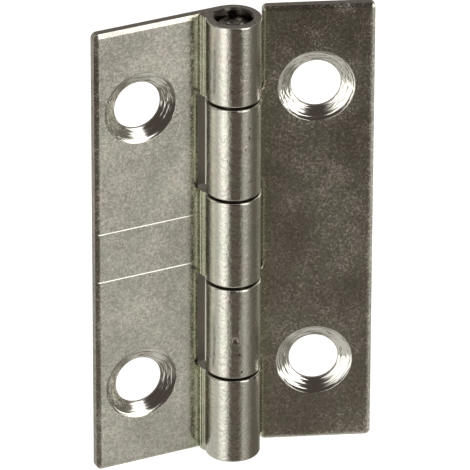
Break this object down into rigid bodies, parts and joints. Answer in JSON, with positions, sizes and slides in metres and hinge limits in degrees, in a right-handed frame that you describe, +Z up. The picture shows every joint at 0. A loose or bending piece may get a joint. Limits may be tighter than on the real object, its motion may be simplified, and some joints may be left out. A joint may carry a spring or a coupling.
{
  "type": "butt hinge",
  "caption": "Small rolled butt hinge: two plated steel leaves with countersunk holes and interleaved knuckles on a staked pin.",
  "frame": {"origin": "middle of the fixed leaf's two screw holes, on its back face", "axes": "+Z up along the pin, +Y out of the fixed leaf's back, +X across the fixed leaf towards the pin"},
  "size_m": [0.029, 0.0059, 0.05],
  "materials": {
    "plated_sheet": "bright zinc plate",
    "pin_steel": "plain drawn wire"
  },
  "bodies": {
    "fixed": {"fixed_leaf": "plated_sheet", "hinge_pin": "pin_steel"},
    "moving": {"moving_leaf": "plated_sheet"}
  },
  "joints": [
    {"name": "leaf_swing", "type": "hinge", "parent": "fixed", "child": "moving", "pos_m": [0.00945, -0.00285, 0], "axis": [0, 0, 1], "range_deg": [-160, 110]}
  ]
}
